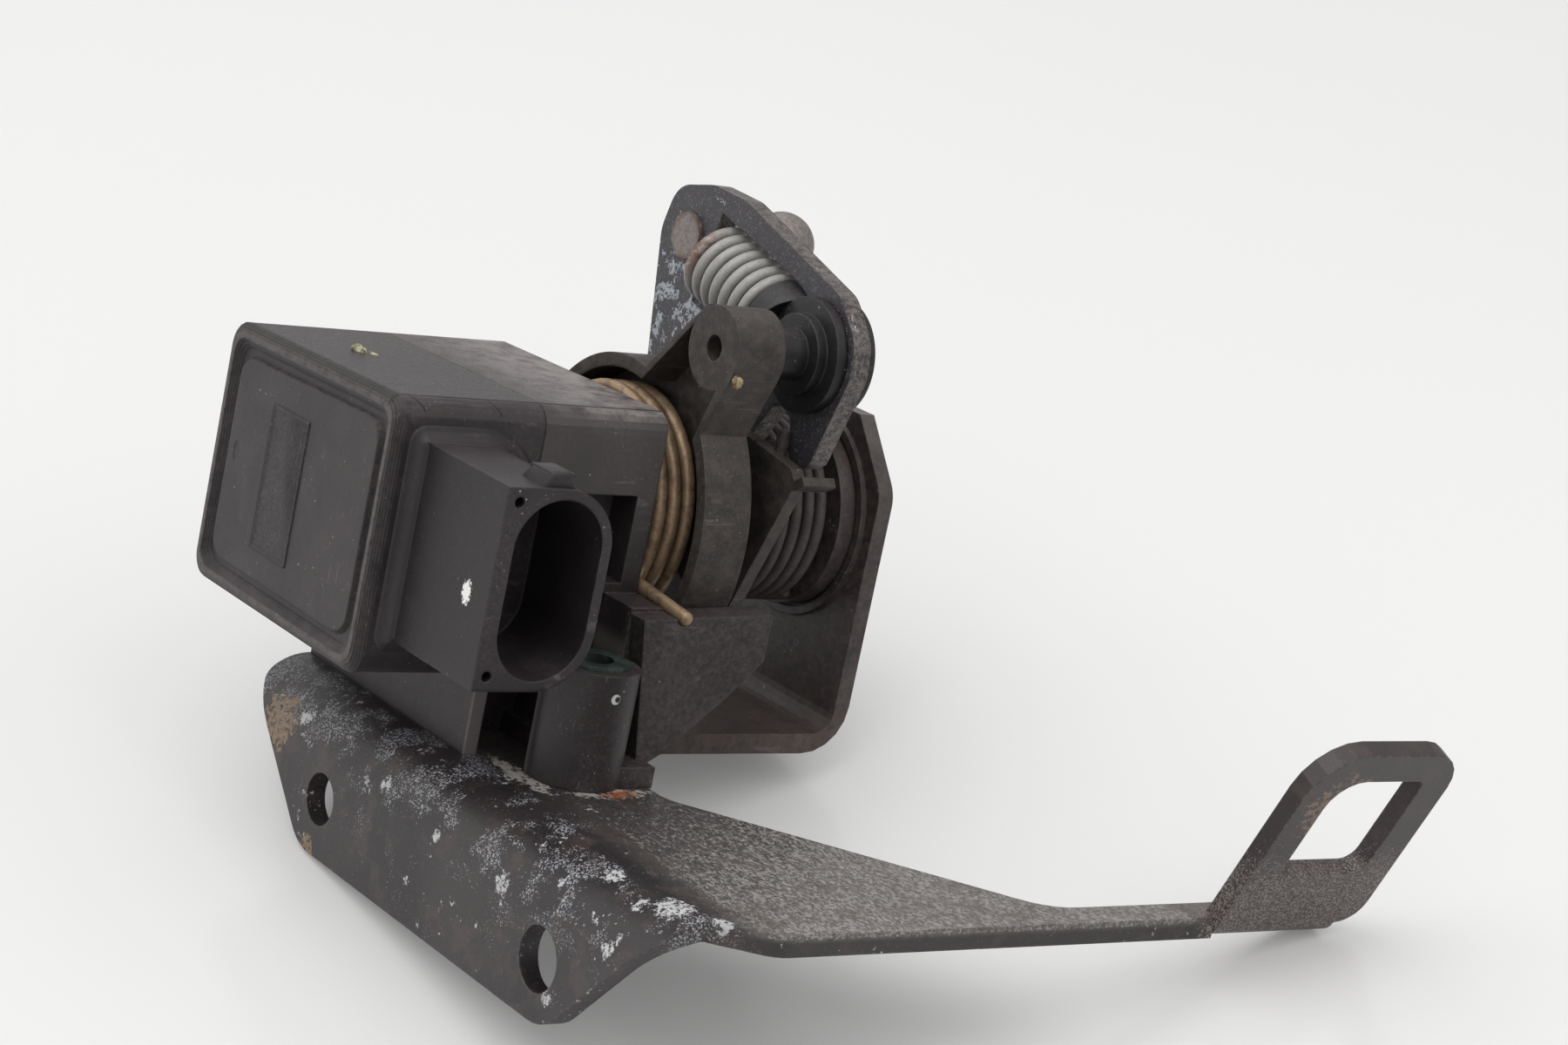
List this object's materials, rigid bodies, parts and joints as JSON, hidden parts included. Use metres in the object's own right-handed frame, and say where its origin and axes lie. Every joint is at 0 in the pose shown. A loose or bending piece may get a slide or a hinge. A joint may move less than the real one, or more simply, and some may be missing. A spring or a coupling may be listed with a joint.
{
  "type": "throttle position sensor",
  "caption": "Lever-driven throttle position sensor on an angled steel bracket with two fixing holes, a cable tab and a side plug socket.",
  "frame": {"origin": "midpoint between the two fixing holes, on the face of the bracket's flange that is clamped to the engine", "axes": "Y runs along the lever shaft from the sensor's end wall to the rear plate, Z is square to the bracket's plate and points up, X points to the plug socket and the arm"},
  "size_m": [0.1282, 0.1273, 0.0992],
  "materials": {
    "painted_steel": "worn black paint with pale corrosion speckle",
    "black_plastic": "satin, dusty",
    "lever_plastic": "satin, dusty brown",
    "black_rubber": "matte",
    "track_board": "matte",
    "rotor_plastic": "matte",
    "contact_brass": "dull",
    "bearing_bronze": "oiled",
    "sleeve_brass": "green patina",
    "bronzed_steel": "bronzed, lightly rusted",
    "dark_steel": "dark oxide",
    "bright_steel": "ground",
    "phosphated_steel": "dark with pale blooming",
    "zinc_steel": "zinc plated, first coil rusty"
  },
  "bodies": {
    "sensor_body": {"bracket": "painted_steel", "base_frame": "black_plastic", "sensor_cover": "black_plastic", "cover_seal": "black_rubber", "track_plate": "track_board", "terminal_1": "contact_brass", "terminal_2": "contact_brass", "terminal_3": "contact_brass", "terminal_4": "contact_brass", "terminal_5": "contact_brass", "terminal_6": "contact_brass", "front_bearing": "bearing_bronze", "rear_bearing": "bearing_bronze", "shaft_seal": "black_rubber", "front_sleeve": "sleeve_brass", "rear_sleeve": "sleeve_brass", "front_spring": "bronzed_steel", "rear_spring": "dark_steel"},
    "lever": {"throttle_lever": "lever_plastic", "shaft": "bright_steel", "rotor": "rotor_plastic", "wiper_contacts": "contact_brass", "link_pin": "dark_steel", "slide_bush": "lever_plastic", "spring_cup": "lever_plastic", "thrust_washer": "bright_steel", "retaining_clip": "dark_steel"},
    "pickup": {"pickup_lever": "phosphated_steel", "ball_stud": "phosphated_steel", "link_spring": "zinc_steel"}
  },
  "joints": [
    {"name": "lever_turn", "type": "hinge", "parent": "sensor_body", "child": "lever", "pos_m": [-0.0271, 0.04, 0.0462], "axis": [0, 1, 0], "range_deg": [0, 55], "stiffness_Nm_per_rad": 0.15, "springref_deg": -34.38, "deforming": ["front_spring", "rear_spring"]},
    {"name": "pickup_override", "type": "hinge", "parent": "lever", "child": "pickup", "pos_m": [-0.0271, 0.0545, 0.0462], "axis": [0, 1, 0], "range_deg": [0, 3], "stiffness_Nm_per_rad": 2, "springref_deg": -11.46, "deforming": ["link_spring"]}
  ]
}
